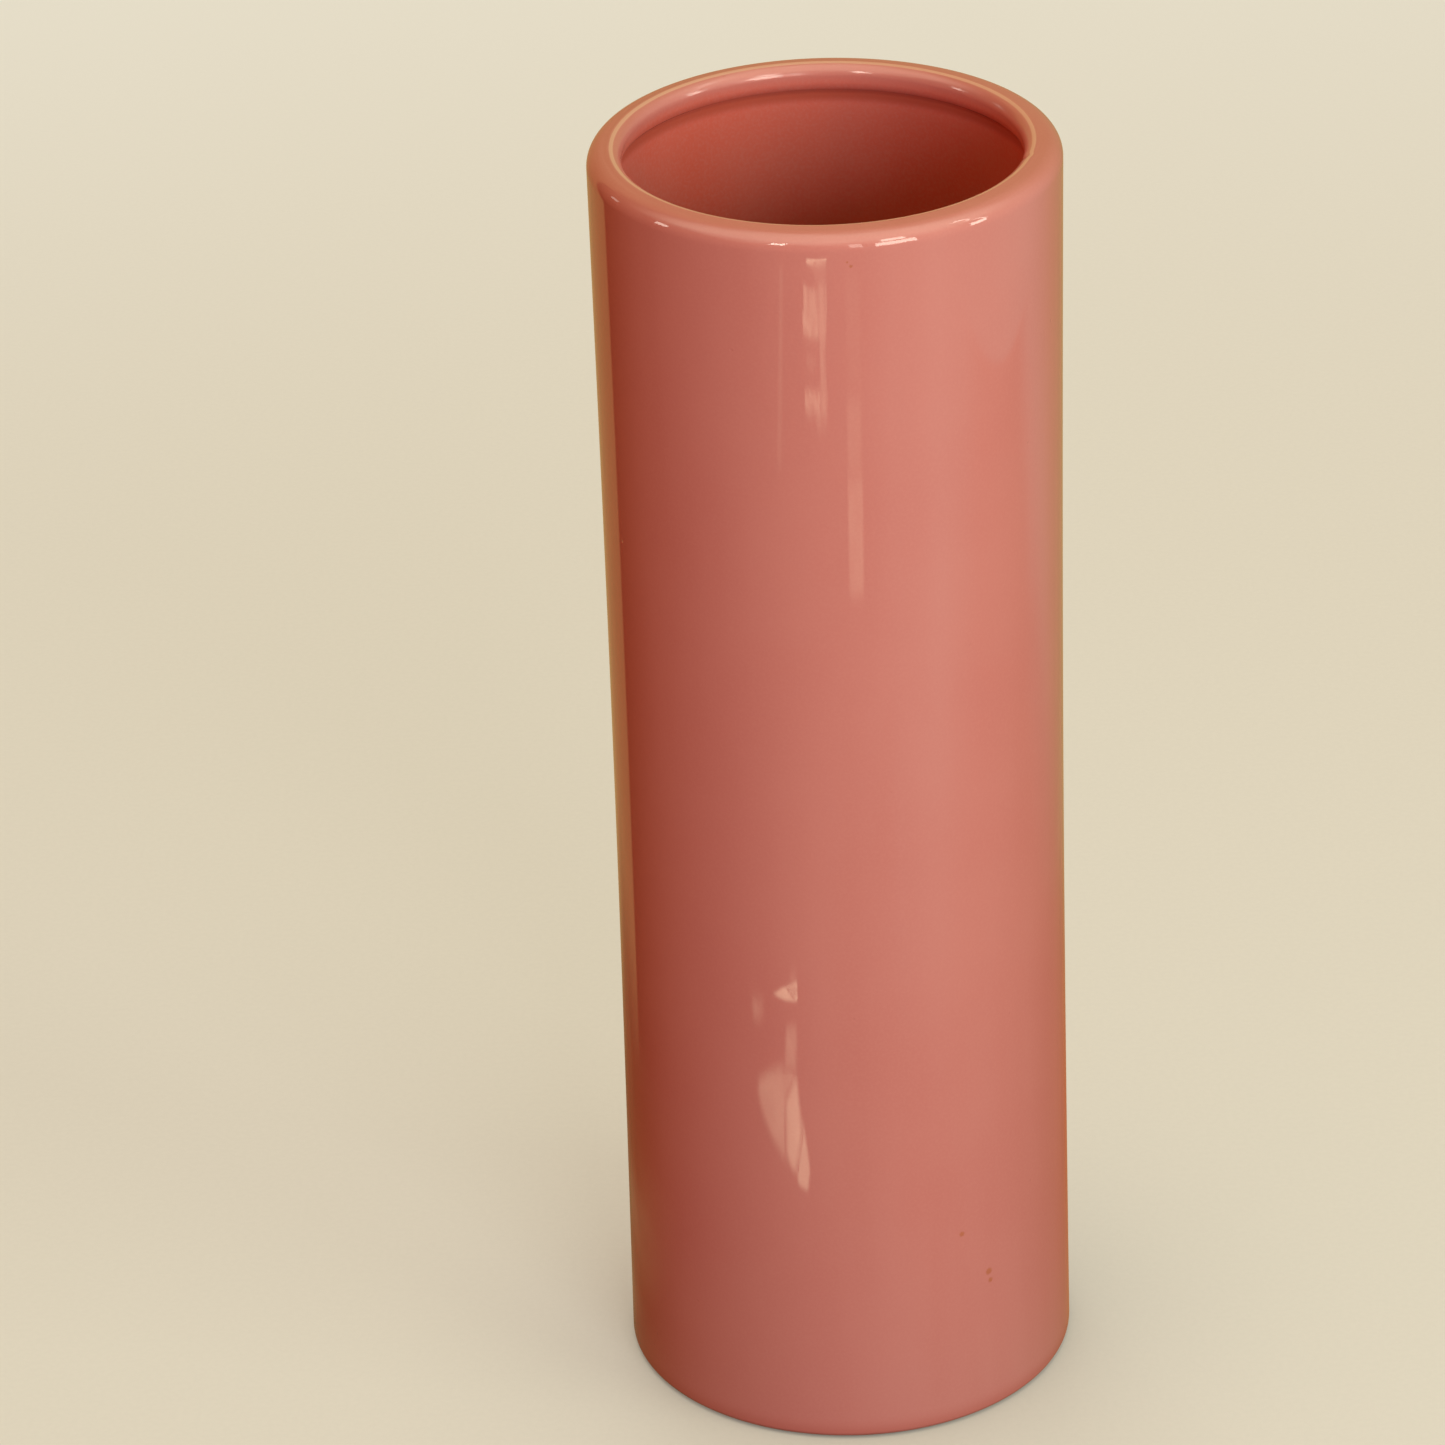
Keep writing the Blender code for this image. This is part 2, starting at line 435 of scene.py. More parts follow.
# Painted light and shade: the inner coat is the same glaze as the outer, but below the rim its colour is
# redder and darker in green and blue to stand in for the dim red light bounced round the interior.
PINK_INSIDE_PAINTED_SHADE = colour(0.69, 0.142, 0.095)
PINK_DEEP = colour(0.54, 0.150, 0.120)
PINK_SHADE_AND_POOL = colour(0.46, 0.085, 0.050)  # painted shade under the lip, and glaze gathered in the floor corner
PINK_PALE = colour(0.66, 0.265, 0.225)
TAN = colour(0.76, 0.42, 0.32)
RUST = colour(0.50, 0.15, 0.06)
CLAY = colour(0.62, 0.45, 0.32)
CLAY_DARK = colour(0.42, 0.28, 0.18)

RIM = (0.2950, 0.2988)  # heights between which colour and polish turn to those of the rim; inside, the painted interior shade gives way to plain pink here
RIPPLES = (0.2960, 0.2980)  # heights between which the ripples of the rim come in
RIPPLE_HEIGHT = 0.000060
RIPPLE_SCALE = 1000.0
RIPPLE_DRIFT = 0.00007  # metres by which a ripple wanders in or out for each degree round

# Patterns in the glaze: how fine they are, and how far they change its colour or its surface
CLOUD_SCALE = 26.0
CLOUD_SHARE = 0.30
RUN_SCALE = 60.0
RUN_STRETCH = (1.0, 1.0, 0.10)  # runs are ten times as tall as they are wide
RUN_SHARE = 0.16
GRAIN_SCALE = 1500.0
GRAIN_SHARE = 0.22
GATHERED_AND_SHADE = (1.05, 1.5)  # glaze depths between which it turns to its gathered colour, which inside is also painted shade under the lip
GATHERED_AND_SHADE_SHARE = 0.8
BREAK_DEPTH = 0.8  # glaze thinner than this shows tan
BREAK_SCALE = 170.0
BREAK_WANDER = 0.35
SPECK_SHARE = 0.75
SPECK_SCALE = 2600.0
SPECK_RAG = 0.00045
SPECK_CORE = 0.75  # a speck is full within this share of its size
SPECK_EDGE = 1.45  # and gone beyond this one
PORE_SCALE = 95.0
PORE_DEPTH = 0.00006
PEEL_SCALE = 330.0
PEEL_HEIGHT = 0.0000003
POLISH_SCALE = 45.0
POLISH_LOW = 0.8  # the roughness wanders between these shares of its value
POLISH_HIGH = 1.3
GLAZE_IOR = 1.52

# Patterns in the bare clay
CLAY_GRAIN_SCALE = 900.0
CLAY_GRAIN_DEPTH = 0.00012
SOIL_SCALE = 120.0
CLAY_DARK_SHARE = 0.5
FILM = (0.02, 0.08)  # glaze depths between which the clay turns from bare to filmed over
CLAY_ROUGHNESS = 0.85
FILM_ROUGHNESS = 0.12

# Iron specks in the outer coat: bearing in degrees, height and size
SPECKS = [
    (41.8, 0.1119, 0.00060),
    (38.1, 0.0375, 0.00100),
    (38.6, 0.0350, 0.00080),
    (29.9, 0.0501, 0.00085),
    (5.6, 0.2928, 0.00050),
    (4.7, 0.2937, 0.00040),
    (-83.0, 0.2754, 0.00050),
    (152.0, 0.190, 0.0005),
    (-140.0, 0.080, 0.0006),
    (98.0, 0.236, 0.0004),
]


def speck_mask(graph, place):
    """1 inside each of SPECKS, with ragged edges."""
    ragged = graph.math("MULTIPLY", graph.noise(place, SPECK_SCALE, 1.0), SPECK_RAG)
    total = 0.0
    for bearing, height, size in SPECKS:
        turn = math.radians(bearing)
        centre = Vector((math.sin(turn), -math.cos(turn), 0)) * OUTER_RADIUS
        centre.z = height
        inputs = {0: place, 1: centre}
        away = graph.add("ShaderNodeVectorMath", inputs, operation="DISTANCE").outputs["Value"]
        away = graph.math("ADD", away, ragged)
        inside = graph.ramp(away, size * SPECK_CORE, size * SPECK_EDGE, 1.0, 0.0)
        total = graph.math("MAXIMUM", total, inside)
    return total


def rim_ripples(graph, place):
    """Faint rings left by the sponge that finished the rim: 0 below the rim."""
    x, y, z = graph.split(place)
    squares = graph.math("ADD", graph.math("MULTIPLY", x, x), graph.math("MULTIPLY", y, y))
    across = graph.math("SQRT", squares)
    around = graph.math("MULTIPLY", graph.bearing(place), RIPPLE_DRIFT)
    rings = graph.add("ShaderNodeCombineXYZ", {0: across, 1: around, 2: z}).outputs[0]
    height = graph.math("MULTIPLY", graph.noise(rings, RIPPLE_SCALE, 2.0), RIPPLE_HEIGHT)
    return graph.math("MULTIPLY", height, graph.ramp(z, *RIPPLES))


def glaze_material(name, base, gathered_and_shade, roughness, rim_blur, specks):
    """Glossy coloured glaze: mottled, tan where it breaks, deeper where it gathers, and deeper under the
    inner lip as painted shade.

    The gathered colour is its colour where it is deep, which inside also paints shade under the lip, and
    rim_blur is how much rougher it is at the rim.
    """
    material, graph = new_material(name)
    place = graph.add("ShaderNodeTexCoord").outputs["Object"]
    depth = graph.add("ShaderNodeAttribute", attribute_name="glaze_depth").outputs["Fac"]
    # Towards the rim the colour turns to plain pink, which ends the inner coat's painted interior shade
    # at the lip.
    base = graph.mix(graph.ramp(graph.split(place)[2], *RIM), base, PINK)

    cloud = graph.noise(place, CLOUD_SCALE, 3.0)
    runs = graph.noise(place, RUN_SCALE, 2.0, RUN_STRETCH)
    grain = graph.noise(place, GRAIN_SCALE, 2.0)
    shade = graph.mix(graph.ramp(cloud, 0.30, 0.70, 0.0, CLOUD_SHARE), base, PINK_PALE)
    shade = graph.mix(graph.ramp(runs, 0.45, 0.75, 0.0, RUN_SHARE), shade, PINK_DEEP)
    shade = graph.mix(graph.ramp(grain, 0.35, 0.75, 0.0, GRAIN_SHARE), shade, PINK_PALE)
    # Painted shade: inside, the deep colour under the lip stands for shade; at the foot and in the floor
    # corner it is gathered glaze.
    shade = graph.mix(graph.ramp(depth, *GATHERED_AND_SHADE, 0.0, GATHERED_AND_SHADE_SHARE), shade, gathered_and_shade)

    wander = graph.math("SUBTRACT", graph.noise(place, BREAK_SCALE, 3.0), 0.5)
    wander = graph.math("MULTIPLY", wander, BREAK_WANDER)
    thin = graph.ramp(graph.math("ADD", depth, wander), 0.0, BREAK_DEPTH, 1.0, 0.0)
    shade = graph.mix(thin, shade, TAN)
    if specks:
        mask = graph.math("MULTIPLY", speck_mask(graph, place), SPECK_SHARE)
        shade = graph.mix(mask, shade, RUST)

    cells = graph.add("ShaderNodeTexVoronoi", {"Vector": place, "Scale": PORE_SCALE})
    pores = graph.ramp(cells.outputs["Distance"], 0.02, 0.045, -1.0, 0.0)
    peel = graph.math("MULTIPLY", graph.noise(place, PEEL_SCALE, 2.0), PEEL_HEIGHT)
    relief = graph.math("ADD", graph.math("MULTIPLY", pores, PORE_DEPTH), peel)
    relief = graph.math("ADD", relief, rim_ripples(graph, place))

    polish = graph.noise(place, POLISH_SCALE, 3.0)
    rough = graph.ramp(polish, 0.3, 0.7, roughness * POLISH_LOW, roughness * POLISH_HIGH)
    rough = graph.math("ADD", rough, graph.ramp(graph.split(place)[2], *RIM, 0.0, rim_blur))
    looks = {"Base Color": shade, "Roughness": rough, "Normal": graph.bump(relief), "IOR": GLAZE_IOR}
    shader = graph.add("ShaderNodeBsdfPrincipled", looks)
    graph.add("ShaderNodeOutputMaterial", {"Surface": shader.outputs[0]})
    return material


def clay_material():
    """Buff clay, dry and slightly soiled on the foot, under a film of glaze on the crest."""
    material, graph = new_material("buff_clay")
    place = graph.add("ShaderNodeTexCoord").outputs["Object"]
    depth = graph.add("ShaderNodeAttribute", attribute_name="glaze_depth").outputs["Fac"]
    film = graph.ramp(depth, *FILM)
    grain = graph.noise(place, CLAY_GRAIN_SCALE, 4.0)
    soil = graph.noise(place, SOIL_SCALE, 3.0)
    bare = graph.mix(graph.ramp(grain, 0.40, 0.70, 0.0, CLAY_DARK_SHARE), CLAY, CLAY_DARK)
    bare = graph.mix(graph.ramp(soil, 0.50, 0.75, 0.0, CLAY_DARK_SHARE), bare, CLAY_DARK)
    shade = graph.mix(film, bare, TAN)
    rough = graph.ramp(film, 0.0, 1.0, CLAY_ROUGHNESS, FILM_ROUGHNESS)
    relief = graph.math("MULTIPLY", grain, graph.ramp(film, 0.0, 1.0, CLAY_GRAIN_DEPTH, 0.0))
    looks = {"Base Color": shade, "Roughness": rough, "Normal": graph.bump(relief), "IOR": 1.5}
    shader = graph.add("ShaderNodeBsdfPrincipled", looks)
    graph.add("ShaderNodeOutputMaterial", {"Surface": shader.outputs[0]})
    return material


# ---------------------------------------------------------------- pieces


def dress(piece, node, material):
    """The piece stands for its CAD node and carries its finish."""
    piece.data.materials.append(material)
    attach(piece, "root")
    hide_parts(node)


def build_clay():
    piece = turned("clay_casting", clay_outline(), False, clay_depth)
    dress(piece, "clay_body", clay_material())


def build_outer_coat():
    piece = turned("outer_coat", outer_outline(), True, outside_depth)
    glaze = glaze_material("glaze_outside", PINK, PINK_DEEP, 0.028, rim_blur=0.0, specks=True)
    dress(piece, "outer_glaze", glaze)


def build_inner_coat():
    piece = turned("inner_coat", inner_outline(), False, inside_depth)
    # The inside's base colour is painted interior shade, not a different glaze.
    glaze = glaze_material("glaze_inside", PINK_INSIDE_PAINTED_SHADE, PINK_SHADE_AND_POOL, 0.10, rim_blur=0.06, specks=False)
    dress(piece, "inner_glaze", glaze)


def build_base_coat():
    piece = turned("base_coat", base_outline(), False, base_depth)
    glaze = glaze_material("glaze_base", PINK, PINK_DEEP, 0.06, rim_blur=0.0, specks=False)
    dress(piece, "base_glaze", glaze)


# ---------------------------------------------------------------- studio

BACKDROP = colour(0.80, 0.75, 0.61)
FLOOR = colour(0.74, 0.72, 0.66)
FLOOR_GLOW = 0.55  # share of the floor's look that is even light
FLOOR_RADIUS = 9.0
FLOOR_SIDES = 96
FLOOR_FADE = (0.35, 1.3)  # distances over which the floor fades into the backdrop
FLOOR_GRAIN_SCALE = 700.0
CONTACT_REACH = 0.25  # how far out the vase dims the floor
CONTACT_LOW = 0.25  # share of the even light that is left right under it
WOOD = colour(0.40, 0.24, 0.12)
WOOD_SHADE = (0.05, 0.45)  # distances over which the table's bounce rises from dim to full: painted shadow of the vase on the table
WOOD_LOW = 0.25

# What the glaze mirrors of the room
MUSTARD = colour(0.49, 0.315, 0.12)
GLOOM = colour(0.030, 0.014, 0.008)
FRONT = colour(0.29, 0.205, 0.125)
BRIGHT = colour(0.62, 0.52, 0.40)
BAND = colour(2.0, 1.8, 1.5)
HIGH_GLOW = colour(2.2, 2.2, 1.7)  # the pale upper walls round the windows
WARM = colour(1.15, 0.14, 0.040)
DOME = colour(0.35, 0.26, 0.10)
TABLE_LIGHT = colour(0.42, 0.29, 0.13)
TABLE_WOOD = colour(0.24, 0.12, 0.045)
TABLE_RED = colour(0.56, 0.11, 0.02)
SUNLIT = colour(1.0, 0.84, 0.54)
DAYLIGHT = colour(1.0, 0.97, 0.82)

# Bearings over which one part of the mirrored room turns into the next
GLOOM_TO_FRONT = (-70.0, -10.0)
FRONT_TO_BRIGHT = (0.0, 60.0)
BRIGHT_TO_MUSTARD = (110.0, 145.0)
MUSTARD_TO_GLOOM = (-137.0, -134.5)

# Upright bright bands in the mirrored room: bearing, half width and strength
BANDS = [(54.5, 5.0, 0.10), (104.0, 12.0, 0.04), (31.0, 3.0, 0.06)]
BAND_FOOT = 1.8  # a band begins this many half widths out
BAND_TOP = 0.4  # and is at full strength from here in

# Parts of a unit vector, from which the high walls, their front side and the dome come in
HIGH_WALLS = (0.30, 0.80)
HIGH_WALLS_AHEAD = (-0.1, 0.5)
DOME_RISE = (0.0, 0.85)

# The mirrored table top. Each pair is a stretch of x or y over which it changes.
TABLE_CORNERS = [(-0.30, -0.30), (0.60, -0.30), (0.60, 0.30), (-0.30, 0.30)]
TABLE_HEIGHT = 0.0005
TABLE_WEAR_SCALE = 9.0
TABLE_WEAR_STRETCH = (1.0, 0.35, 1.0)
TABLE_BARE_BACK = (0.12, 0.19)
TABLE_REDDER_RIGHT = (0.01, 0.08)
TABLE_RED_SHARE = 0.75
TABLE_LIT_RIGHT = (-0.14, 0.03)
TABLE_LIT_BACK = (-0.04, 0.03)
TABLE_LIT_BACK_LEFT = (-0.19, -0.07)
TABLE_LIT_SHARE = 0.9
TABLE_LEFT_EDGE = (-0.175, -0.110)
TABLE_BACK_EDGE = (0.10, 0.29)
TABLE_FRONT_EDGE = (-0.30, -0.10)
TABLE_EDGE_SCALE = 20.0
TABLE_EDGE_WAVER = 0.04


def direction(bearing, elevation):
    """A unit vector, from two angles in degrees."""
    turn = math.radians(bearing)
    lift = math.radians(elevation)
    return Vector((math.sin(turn) * math.cos(lift), -math.cos(turn) * math.cos(lift), math.sin(lift)))


def room(graph, vector):
    """What the glaze mirrors: a mustard wall behind, gloom to the left, a bright side to the right."""
    bearing = graph.bearing(vector)
    shade = graph.mix(graph.ramp(bearing, *GLOOM_TO_FRONT), GLOOM, FRONT)
    shade = graph.mix(graph.ramp(bearing, *FRONT_TO_BRIGHT), shade, BRIGHT)
    for centre, half, strength in BANDS:
        foot = half * BAND_FOOT
        top = half * BAND_TOP
        rise = graph.ramp(bearing, centre - foot, centre - top, 0.0, strength)
        fall = graph.ramp(bearing, centre + top, centre + foot, 1.0, 0.0)
        shade = graph.mix(graph.math("MULTIPLY", rise, fall), shade, BAND)
    shade = graph.mix(graph.ramp(bearing, *BRIGHT_TO_MUSTARD), shade, MUSTARD)
    shade = graph.mix(graph.ramp(bearing, *MUSTARD_TO_GLOOM), MUSTARD, shade)
    _, y, z = graph.split(vector)
    ahead = graph.ramp(y, *HIGH_WALLS_AHEAD, 1.0, 0.0)
    high = graph.math("MULTIPLY", graph.ramp(z, *HIGH_WALLS), ahead)
    return graph.mix(high, shade, HIGH_GLOW)


def build_world():
    """Pale backdrop to the camera, the room to mirrors, and a warm glow to everything else."""
    world = bpy.data.worlds.new("studio")
    world.use_nodes = True
    bpy.context.scene.world = world
    graph = Graph(world.node_tree)
    vector = graph.add("ShaderNodeTexCoord").outputs["Generated"]
    path = graph.add("ShaderNodeLightPath").outputs
    x, _, z = graph.split(vector)
    left = graph.math("MAXIMUM", graph.math("MULTIPLY", x, -1.0), 0.0)
    side = graph.mix(left, colour(0, 0, 0), WARM)
    ambient = graph.mix(graph.ramp(z, *DOME_RISE), side, DOME)
    shade = graph.mix(path["Is Glossy Ray"], ambient, room(graph, vector))
    shade = graph.mix(path["Is Camera Ray"], shade, BACKDROP)
    background = graph.add("ShaderNodeBackground", {"Color": shade})
    graph.add("ShaderNodeOutputWorld", {"Surface": background.outputs[0]})


def flat_piece(name, corners, height):
    """One flat face of the stage."""
    mesh = bpy.data.meshes.new(name)
    mesh.from_pydata([(x, y, height) for x, y in corners], [], [list(range(len(corners)))])
    made = bpy.data.objects.new(name, mesh)
    bpy.context.scene.collection.objects.link(made)
    return made


def only_mirrored(piece):
    """Leaves the piece visible in reflections alone."""
    piece.visible_camera = False
    piece.visible_diffuse = False
    piece.visible_shadow = False
    piece.visible_transmission = False


def build_floor():
    """A pale floor that fades into the backdrop; its bounce is that of the wooden table."""
    turns = np.linspace(0, math.tau, FLOOR_SIDES, endpoint=False)
    corners = [(FLOOR_RADIUS * math.cos(t), FLOOR_RADIUS * math.sin(t)) for t in turns]
    floor = flat_piece("floor", corners, 0.0)
    floor.visible_glossy = False
    material, graph = new_material("floor")
    place = graph.add("ShaderNodeTexCoord").outputs["Object"]
    path = graph.add("ShaderNodeLightPath").outputs
    away = graph.add("ShaderNodeVectorMath", {0: place}, operation="LENGTH").outputs["Value"]
    grain = graph.ramp(graph.noise(place, FLOOR_GRAIN_SCALE, 3.0), 0.3, 0.7, 0.985, 1.015)
    lit = graph.add("ShaderNodeBsdfDiffuse", {"Color": FLOOR}).outputs[0]
    # Painted contact shadow: the floor's even glow is dimmed near the vase by ambient occlusion.
    open_sky = graph.add("ShaderNodeAmbientOcclusion", {"Distance": CONTACT_REACH}).outputs["AO"]
    even = graph.math("MULTIPLY", graph.ramp(open_sky, 0.0, 1.0, CONTACT_LOW, 1.0), grain)
    glow = graph.add("ShaderNodeEmission", {"Color": BACKDROP, "Strength": even}).outputs[0]
    near = graph.add("ShaderNodeMixShader", {0: FLOOR_GLOW, 1: lit, 2: glow}).outputs[0]
    far = graph.add("ShaderNodeEmission", {"Color": BACKDROP}).outputs[0]
    fade = graph.ramp(away, *FLOOR_FADE)
    seen = graph.add("ShaderNodeMixShader", {0: fade, 1: near, 2: far}).outputs[0]
    # Painted shadow in the bounce: the table colour is darker near the vase.
    shaded = graph.mix(graph.ramp(away, *WOOD_SHADE, WOOD_LOW, 1.0), colour(0, 0, 0), WOOD)
    wood = graph.add("ShaderNodeBsdfDiffuse", {"Color": shaded}).outputs[0]
    both = graph.add("ShaderNodeMixShader", {0: path["Is Camera Ray"], 1: wood, 2: seen}).outputs[0]
    graph.add("ShaderNodeOutputMaterial", {"Surface": both})
    floor.data.materials.append(material)


def table_shade(graph, place):
    """Worn paint over wood: bare at the back, redder towards the right, in gloom on the left."""
    x, y, _ = graph.split(place)
    worn = graph.ramp(graph.noise(place, TABLE_WEAR_SCALE, 4.0, TABLE_WEAR_STRETCH), 0.42, 0.62)
    shade = graph.mix(worn, TABLE_LIGHT, TABLE_WOOD)
    shade = graph.mix(graph.ramp(y, *TABLE_BARE_BACK), shade, TABLE_WOOD)
    # Redder towards the right.
    shade = graph.mix(graph.ramp(x, *TABLE_REDDER_RIGHT, 0.0, TABLE_RED_SHARE), shade, TABLE_RED)
    lit_back = graph.ramp(y, *TABLE_LIT_BACK, 0.0, TABLE_LIT_SHARE)
    behind = graph.math("MULTIPLY", lit_back, graph.ramp(x, *TABLE_LIT_BACK_LEFT))
    lit = graph.math("MAXIMUM", graph.ramp(x, *TABLE_LIT_RIGHT), behind)
    return graph.mix(lit, GLOOM, shade)


def build_table():
    """The worn table top that the glaze mirrors; it fades out at its left, back and front edges."""
    table = flat_piece("mirrored_table", TABLE_CORNERS, TABLE_HEIGHT)
    only_mirrored(table)
    material, graph = new_material("mirrored_table")
    place = graph.add("ShaderNodeTexCoord").outputs["Object"]
    x, y, _ = graph.split(place)
    glow = graph.add("ShaderNodeEmission", {"Color": table_shade(graph, place)}).outputs[0]
    clear = graph.add("ShaderNodeBsdfTransparent").outputs[0]
    wavering = graph.math("MULTIPLY", graph.noise(place, TABLE_EDGE_SCALE, 2.0), TABLE_EDGE_WAVER)
    left_edge = graph.ramp(graph.math("ADD", x, wavering), *TABLE_LEFT_EDGE)
    back_edge = graph.ramp(graph.math("ADD", y, wavering), *TABLE_BACK_EDGE, 1.0, 0.0)
    there = graph.math("MULTIPLY", left_edge, back_edge)
    there = graph.math("MULTIPLY", there, graph.ramp(y, *TABLE_FRONT_EDGE))
    seen = graph.add("ShaderNodeMixShader", {0: there, 1: clear, 2: glow}).outputs[0]
    graph.add("ShaderNodeOutputMaterial", {"Surface": seen})
    table.data.materials.append(material)


# Studio lights: name, bearing, elevation, distance, width and height, watts, tint
LIGHTS = [
    ("window", 20.0, 15.0, 1.6, (0.75, 0.75), 16.2, (0.87, 0.90, 0.955)),
    ("side_window", 60.0, 24.0, 1.6, (0.75, 0.75), 8.2, (0.94, 1.0, 0.80)),
    ("overhead", 0.0, 90.0, 1.5, (0.45, 0.45), 5.2, (0.95, 0.93, 0.62)),
    ("back_fill", 190.0, 12.0, 1.9, (1.2, 0.9), 16.0, (1.0, 0.93, 0.86)),
]
LIGHTS_AIM = 0.6  # they point at this share of the vase's height


def area_light(name, bearing, elevation, distance, size, power, tint):
    """A soft light that lights the vase but isn't mirrored in it."""
    light = bpy.data.lights.new(name, "AREA")
    light.shape = "RECTANGLE"
    light.size, light.size_y = size
    light.energy = power
    light.color = tint
    lamp = bpy.data.objects.new(name, light)
    target = Vector((0.0, 0.0, HEIGHT * LIGHTS_AIM))
    lamp.location = target + direction(bearing, elevation) * distance
    lamp.rotation_mode = "QUATERNION"
    lamp.rotation_quaternion = direction(bearing, elevation).to_track_quat("Z", "Y")
    lamp.visible_camera = False
    lamp.visible_glossy = False
    bpy.context.scene.collection.objects.link(lamp)


PATCH_HEIGHT = 0.001  # just above the mirrored table
BLOTCH_SCALE = 45.0
BLOTCH_STRETCH = (1.0, 1.6, 1.0)


def soft_inside(graph, place, corners, soft):
    """1 well inside the convex outline (corners run anticlockwise), falling to 0 at its edges."""
    x, y, _ = graph.split(place)
    inside = 1.0
    for (x0, y0), (x1, y1) in zip(corners, corners[1:] + corners[:1]):
        length = math.hypot(x1 - x0, y1 - y0)
        across = (y0 - y1) / length
        along = (x1 - x0) / length
        depth = graph.math("ADD", graph.math("MULTIPLY", x, across), graph.math("MULTIPLY", y, along))
        offset = x0 * across + y0 * along
        inside = graph.math("MULTIPLY", inside, graph.ramp(depth, offset, offset + soft))
    return inside


def sun_patch(name, corners, strength, soft, blotches):
    """A sunlit patch on the table in front of the vase, seen only in its glaze."""
    patch = flat_piece(name, corners, PATCH_HEIGHT)
    only_mirrored(patch)
    material, graph = new_material(name)
    place = graph.add("ShaderNodeTexCoord").outputs["Object"]
    spots = graph.noise(place, BLOTCH_SCALE, 3.0, BLOTCH_STRETCH)
    spots = graph.ramp(spots, 0.40, 0.60, 1.0 - blotches, 1.0)
    mask = graph.math("MULTIPLY", soft_inside(graph, place, corners, soft), spots)
    glow = graph.add("ShaderNodeEmission", {"Color": SUNLIT, "Strength": strength}).outputs[0]
    clear = graph.add("ShaderNodeBsdfTransparent").outputs[0]
    seen = graph.add("ShaderNodeMixShader", {0: mask, 1: clear, 2: glow})
    graph.add("ShaderNodeOutputMaterial", {"Surface": seen.outputs[0]})
    patch.data.materials.append(material)


def sector(left, right, near, far, drift=0.0):
    """Corners of a patch between two bearings and two distances; drift turns its near end."""
    spots = [(left, far), (right, far), (right + drift, near), (left + drift, near)]
    return [(math.sin(math.radians(b)) * d, -math.cos(math.radians(b)) * d) for b, d in spots]


# Sunlit patches: name, convex outline, strength, softness of the edge and depth of the blotches.
# The first group makes the broken strip of light below the rim and the streak beside it.
STRIP_PATCHES = [
    ("strip_bar", sector(-9.6, 0.2, 0.6960, 0.7155), 5.2, 0.0040, 0.25),
    ("strip_gap", sector(-6.0, 0.0, 0.680, 0.704), 1.1, 0.006, 0.4),
    ("strip_block", sector(-11.2, -0.2, 0.655, 0.6835), 3.2, 0.003, 0.4),
    ("strip_block_low", sector(-11.9, -0.6, 0.644, 0.664), 4.0, 0.003, 0.4),
    ("strip_edge", sector(-4.6, -0.8, 0.582, 0.690), 2.2, 0.012, 0.3),
    ("strip_band", sector(-11.0, -1.2, 0.616, 0.636), 1.6, 0.012, 0.9),
    ("strip_tail", sector(-12.0, -0.6, 0.587, 0.612), 3.6, 0.008, 0.7),
    ("strip_tail_end", sector(-7.0, -0.8, 0.574, 0.596), 1.7, 0.012, 0.4),
    ("streak", sector(7.2, 15.4, 0.468, 0.560, -0.8), 2.0, 0.013, 0.25),
    ("streak_middle", sector(7.4, 15.6, 0.545, 0.610, -0.4), 1.3, 0.018, 0.2),
    ("streak_faint", sector(7.8, 16.0, 0.600, 0.700), 0.7, 0.020, 0.2),
]

# The second group makes the faint line on the left, and the wedge of light near the foot
FAINT_LINE = [(-0.270, -0.650), (-0.238, -0.660), (-0.214, -0.500), (-0.246, -0.490)]
WEDGE_BRIGHT = [(-0.096, -0.178), (-0.082, -0.203), (-0.062, -0.178), (-0.062, -0.148), (-0.081, -0.151)]
WEDGE_TIP = [(-0.083, -0.176), (-0.064, -0.184), (-0.046, -0.163), (-0.046, -0.149), (-0.062, -0.147)]
WEDGE_DIM = [(-0.142, -0.156), (-0.124, -0.184), (-0.084, -0.211), (-0.067, -0.182)]
WEDGE_DIM += [(-0.069, -0.147), (-0.108, -0.143), (-0.131, -0.144)]
WEDGE_NECK = [(-0.112, -0.213), (-0.088, -0.226), (-0.077, -0.200), (-0.103, -0.186)]
WEDGE_TOP = [(-0.148, -0.203), (-0.122, -0.227), (-0.095, -0.2445), (-0.089, -0.231), (-0.119, -0.2175)]
WEDGE_HAZE = [(-0.120, -0.228), (-0.104, -0.258), (-0.091, -0.240), (-0.100, -0.228)]
WEDGE_SIDE = [(-0.178, -0.178), (-0.153, -0.204), (-0.138, -0.188), (-0.158, -0.166)]
WEDGE_PATCHES = [
    ("faint_line", FAINT_LINE, 0.9, 0.014, 0.2),
    ("wedge_bright", WEDGE_BRIGHT, 4.6, 0.008, 0.15),
    ("wedge_tip", WEDGE_TIP, 4.2, 0.005, 0.1),
    ("wedge_dim", WEDGE_DIM, 2.7, 0.013, 0.2),
    ("wedge_neck", WEDGE_NECK, 2.2, 0.008, 0.2),
    ("wedge_top", WEDGE_TOP, 5.4, 0.003, 0.1),
    ("wedge_haze", WEDGE_HAZE, 1.4, 0.012, 0.1),
    ("wedge_side", WEDGE_SIDE, 1.9, 0.012, 0.4),
]

PANE_DISTANCE = 2.4

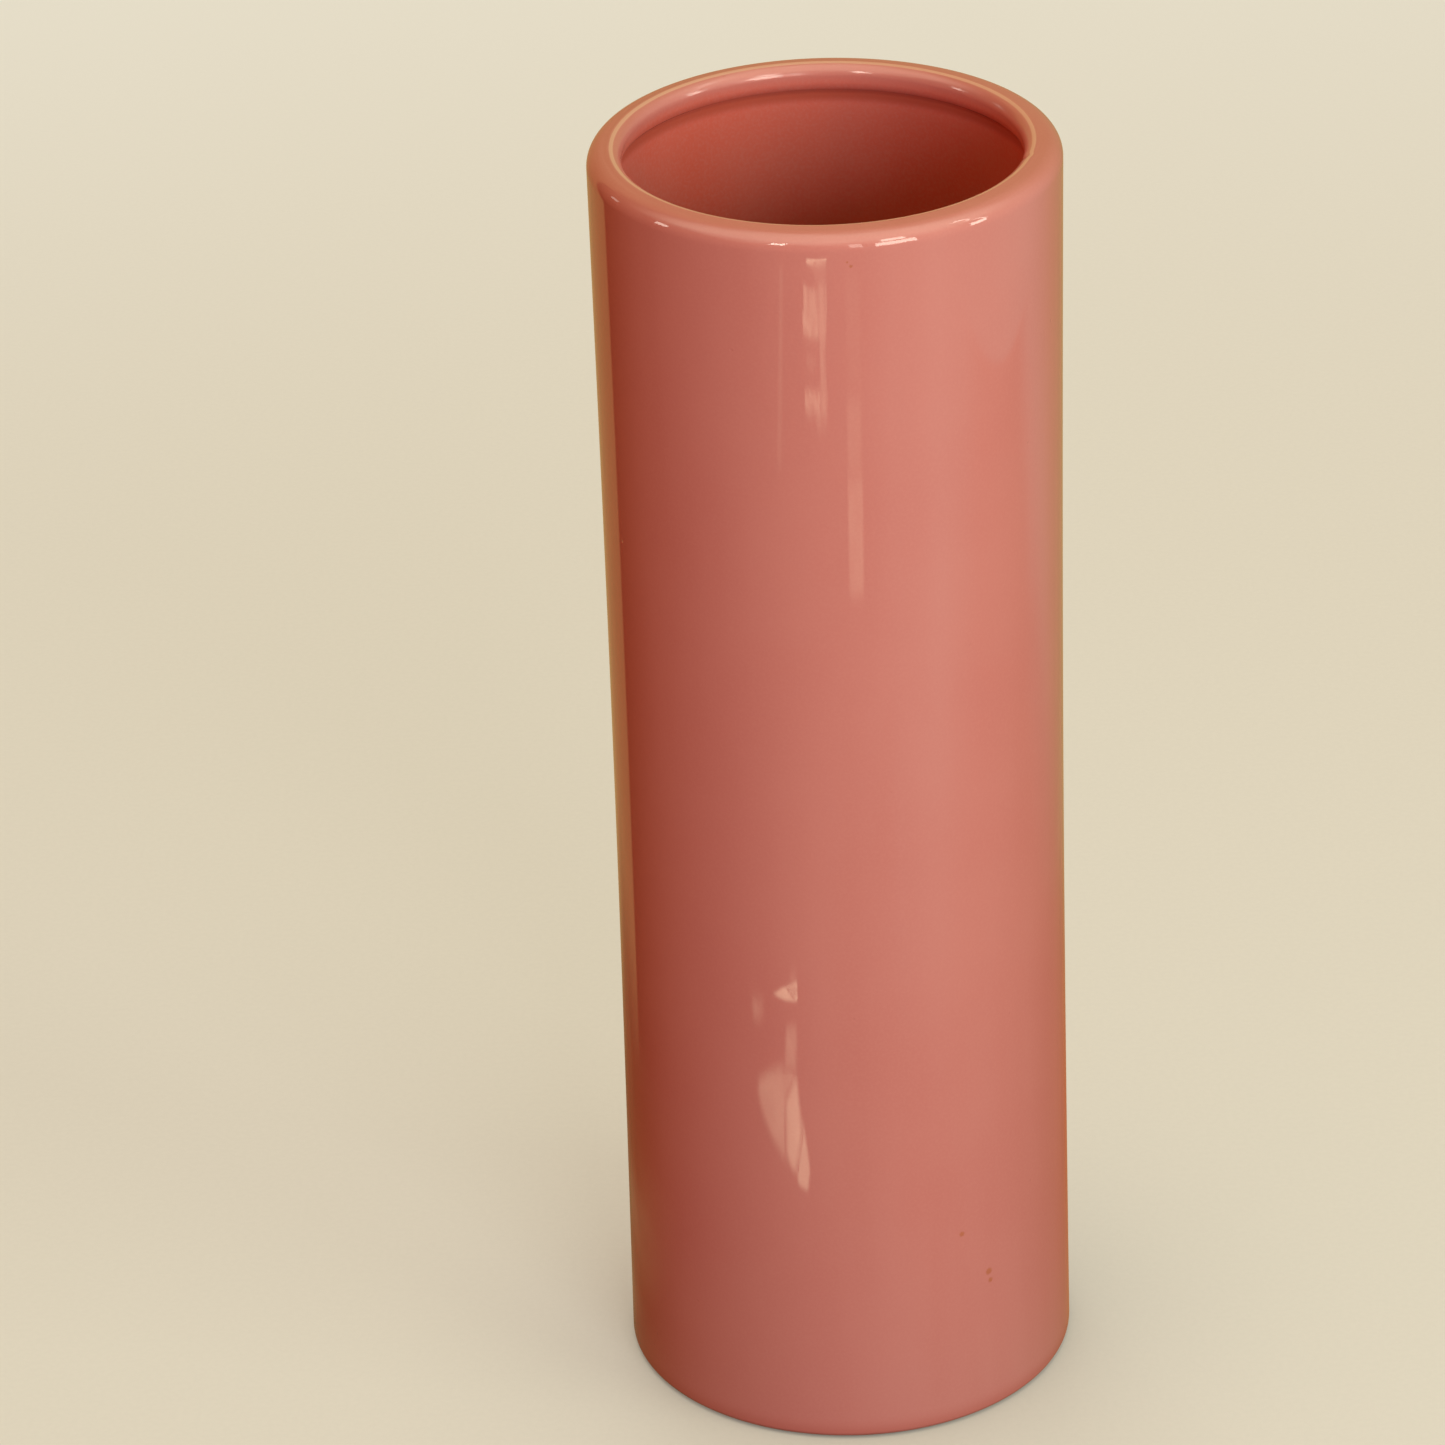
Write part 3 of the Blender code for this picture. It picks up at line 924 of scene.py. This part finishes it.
# Window panes: bearings, elevations and strength
PANES = [
    ((23.0, 43.0), (2.0, 20.0), 10.0),
    ((27.0, 40.0), (26.0, 36.0), 10.0),
    ((76.0, 85.0), (43.0, 48.0), 10.0),
    ((80.0, 82.5), (12.0, 43.0), 8.0),
    ((71.0, 80.0), (2.0, 14.0), 10.0),
    ((11.0, 17.0), (4.0, 28.0), 4.0),
    ((-28.0, -20.0), (22.0, 34.0), 14.0),
    ((-87.0, -80.0), (10.0, 18.0), 7.0),
    ((-120.0, -114.0), (6.0, 14.0), 2.0),
]


def pane(name, bearings, elevations, strength):
    """A bright window pane, seen only in the glaze."""
    left, right = bearings
    low, high = elevations
    corners = [(left, low), (right, low), (right, high), (left, high)]
    mesh = bpy.data.meshes.new(name)
    mesh.from_pydata([direction(b, e) * PANE_DISTANCE for b, e in corners], [], [(0, 1, 2, 3)])
    made = bpy.data.objects.new(name, mesh)
    made.location = (0.0, 0.0, HEIGHT)
    bpy.context.scene.collection.objects.link(made)
    only_mirrored(made)
    material, graph = new_material(name)
    glow = graph.add("ShaderNodeEmission", {"Color": DAYLIGHT, "Strength": strength})
    graph.add("ShaderNodeOutputMaterial", {"Surface": glow.outputs[0]})
    made.data.materials.append(material)


def build_lights():
    for light in LIGHTS:
        area_light(*light)
    for number, (bearings, elevations, strength) in enumerate(PANES):
        pane(f"pane_{number}", bearings, elevations, strength)
    for patch in STRIP_PATCHES + WEDGE_PATCHES:
        sun_patch(*patch)


# ---------------------------------------------------------------- camera

LENS = 164.59  # lens and sensor in millimetres
SENSOR = 36.0
CLIP_START = 0.05
CAMERA_BACK = 1.3203  # in front of the vase's axis
CAMERA_UP = 0.8469  # above its foot
CAMERA_TILT = 27.506  # degrees below level
CAMERA_PAN = 1.125
CAMERA_ROLL = -1.855


def build_camera():
    """Looks down at the vase from in front and above, a little off its axis and off level."""
    data = bpy.data.cameras.new("camera")
    data.lens = LENS
    data.sensor_width = SENSOR
    data.clip_start = CLIP_START
    camera = bpy.data.objects.new("camera", data)
    turn = Matrix.Rotation(math.radians(CAMERA_PAN), 4, "Z")
    tilt = Matrix.Rotation(math.radians(90.0 - CAMERA_TILT), 4, "X")
    roll = Matrix.Rotation(math.radians(CAMERA_ROLL), 4, "Z")
    place = Matrix.Translation((0.0, -CAMERA_BACK, CAMERA_UP))
    camera.matrix_world = place @ turn @ tilt @ roll
    bpy.context.scene.collection.objects.link(camera)
    bpy.context.scene.camera = camera
    bpy.context.scene.view_settings.view_transform = "Standard"


build_clay()
build_outer_coat()
build_inner_coat()
build_base_coat()
build_world()
build_floor()
build_table()
build_lights()
build_camera()
